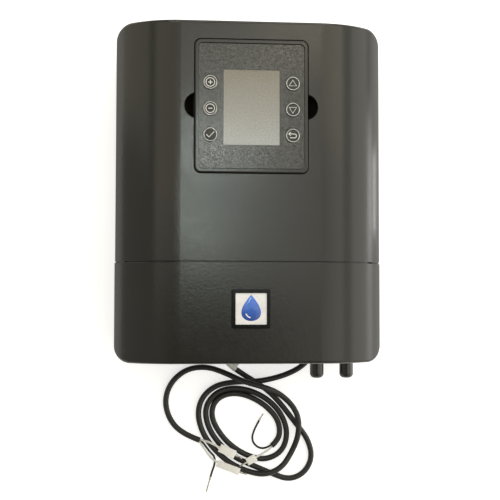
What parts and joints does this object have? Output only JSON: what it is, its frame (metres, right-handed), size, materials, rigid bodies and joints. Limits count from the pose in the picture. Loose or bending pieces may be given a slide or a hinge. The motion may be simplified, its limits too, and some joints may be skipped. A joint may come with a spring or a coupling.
{
  "type": "salt chlorine generator",
  "caption": "Wall-mounted salt chlorinator control box with a pull-out display and keypad module, lift-off terminal cover, capped probe jacks and two loosely coiled leads.",
  "frame": {"origin": "centre of the flat back face", "axes": "+Z out of the front, +Y to the top of the box, +X to the right seen from the front"},
  "size_m": [0.264, 0.4753, 0.1204],
  "materials": {
    "case": "fine-grained matt charcoal ABS",
    "shell": "matt charcoal ABS",
    "overlay": "printed film with a fine metallic speckle",
    "window": "clear anti-glare window",
    "lcd": "unlit pale grey display",
    "keycap": "glossy dark key with a bright ring",
    "black_gloss": "glossy black plastic",
    "cap_vinyl": "glossy black vinyl",
    "badge_white": "white plate",
    "rubber": "soft black rubber",
    "gland_nylon": "black nylon",
    "sheath": "black flexible sheath",
    "core_white": "insulated cores",
    "marker_white": "white marker sleeve",
    "steel": "zinc-plated steel",
    "nickel": "nickel-plated brass",
    "pcb": "green solder mask",
    "ferrite": "grey ferrite",
    "winding": "yellow taped winding",
    "copper": "enamelled copper winding",
    "capacitor": "dark sleeve",
    "aluminium": "extruded aluminium",
    "component_black": "moulded epoxy",
    "fuse_glass": "glass tube fuse",
    "terminal_green": "green nylon",
    "ribbon": "grey ribbon"
  },
  "bodies": {
    "root": {"rear_shell": "shell", "hanger_plate": "steel", "upper_cover": "case", "cover_seal": "rubber", "cover_screws": "steel", "power_board": "pcb", "board_screws": "steel", "transformer_core": "ferrite", "transformer_winding": "winding", "filter_choke": "copper", "bulk_capacitors": "capacitor", "heat_sink": "aluminium", "power_transistors": "component_black", "relays": "component_black", "fuse_holder": "component_black", "mains_fuse": "fuse_glass", "mains_terminal_block": "terminal_green", "sensor_terminal_block": "terminal_green", "terminal_screws": "steel", "display_socket": "component_black", "display_loom": "ribbon", "lead_tails": "sheath", "gland_locknuts": "gland_nylon", "blanking_plugs": "gland_nylon", "jack_nuts": "nickel", "mains_gland_body": "gland_nylon", "mains_gland_nut": "gland_nylon", "mains_gland_seal": "rubber", "cell_gland_body": "gland_nylon", "cell_gland_nut": "gland_nylon", "cell_gland_seal": "rubber", "ph_probe_jack": "nickel", "orp_probe_jack": "nickel", "mains_lead": "sheath", "cell_lead": "sheath", "mains_lead_cores": "core_white", "cell_lead_cores": "core_white", "core_markers": "marker_white", "core_ferrules": "nickel"},
    "display": {"display_housing": "case", "display_back": "case", "keypad_overlay": "overlay", "screen_window": "window", "lcd_panel": "lcd", "display_board": "pcb", "tact_switches": "component_black", "display_screws": "steel", "display_plug": "component_black"},
    "terminal_cover": {"terminal_cover": "case", "badge_bezel": "black_gloss", "badge_plate": "badge_white"},
    "key_plus": {"key_plus": "keycap"},
    "key_minus": {"key_minus": "keycap"},
    "key_confirm": {"key_confirm": "keycap"},
    "key_up": {"key_up": "keycap"},
    "key_down": {"key_down": "keycap"},
    "key_back": {"key_back": "keycap"},
    "ph_jack_cap": {"ph_jack_cap": "cap_vinyl"},
    "orp_jack_cap": {"orp_jack_cap": "cap_vinyl"}
  },
  "joints": [
    {"name": "display_pull", "type": "slide", "parent": "root", "child": "display", "axis": [0, 0, 1], "range_m": [0, 0.045]},
    {"name": "terminal_cover_lift", "type": "slide", "parent": "root", "child": "terminal_cover", "axis": [0, 0, 1], "range_m": [0, 0.07]},
    {"name": "ph_cap_pull", "type": "slide", "parent": "root", "child": "ph_jack_cap", "axis": [0, -1, 0], "range_m": [0, 0.02]},
    {"name": "orp_cap_pull", "type": "slide", "parent": "root", "child": "orp_jack_cap", "axis": [0, -1, 0], "range_m": [0, 0.02]},
    {"name": "key_plus_press", "type": "slide", "parent": "display", "child": "key_plus", "axis": [0, 0, -1], "range_m": [0, 0.0008], "stiffness_N_per_m": 1500, "springref_m": -0.0005},
    {"name": "key_minus_press", "type": "slide", "parent": "display", "child": "key_minus", "axis": [0, 0, -1], "range_m": [0, 0.0008], "stiffness_N_per_m": 1500, "springref_m": -0.0005},
    {"name": "key_confirm_press", "type": "slide", "parent": "display", "child": "key_confirm", "axis": [0, 0, -1], "range_m": [0, 0.0008], "stiffness_N_per_m": 1500, "springref_m": -0.0005},
    {"name": "key_up_press", "type": "slide", "parent": "display", "child": "key_up", "axis": [0, 0, -1], "range_m": [0, 0.0008], "stiffness_N_per_m": 1500, "springref_m": -0.0005},
    {"name": "key_down_press", "type": "slide", "parent": "display", "child": "key_down", "axis": [0, 0, -1], "range_m": [0, 0.0008], "stiffness_N_per_m": 1500, "springref_m": -0.0005},
    {"name": "key_back_press", "type": "slide", "parent": "display", "child": "key_back", "axis": [0, 0, -1], "range_m": [0, 0.0008], "stiffness_N_per_m": 1500, "springref_m": -0.0005}
  ]
}
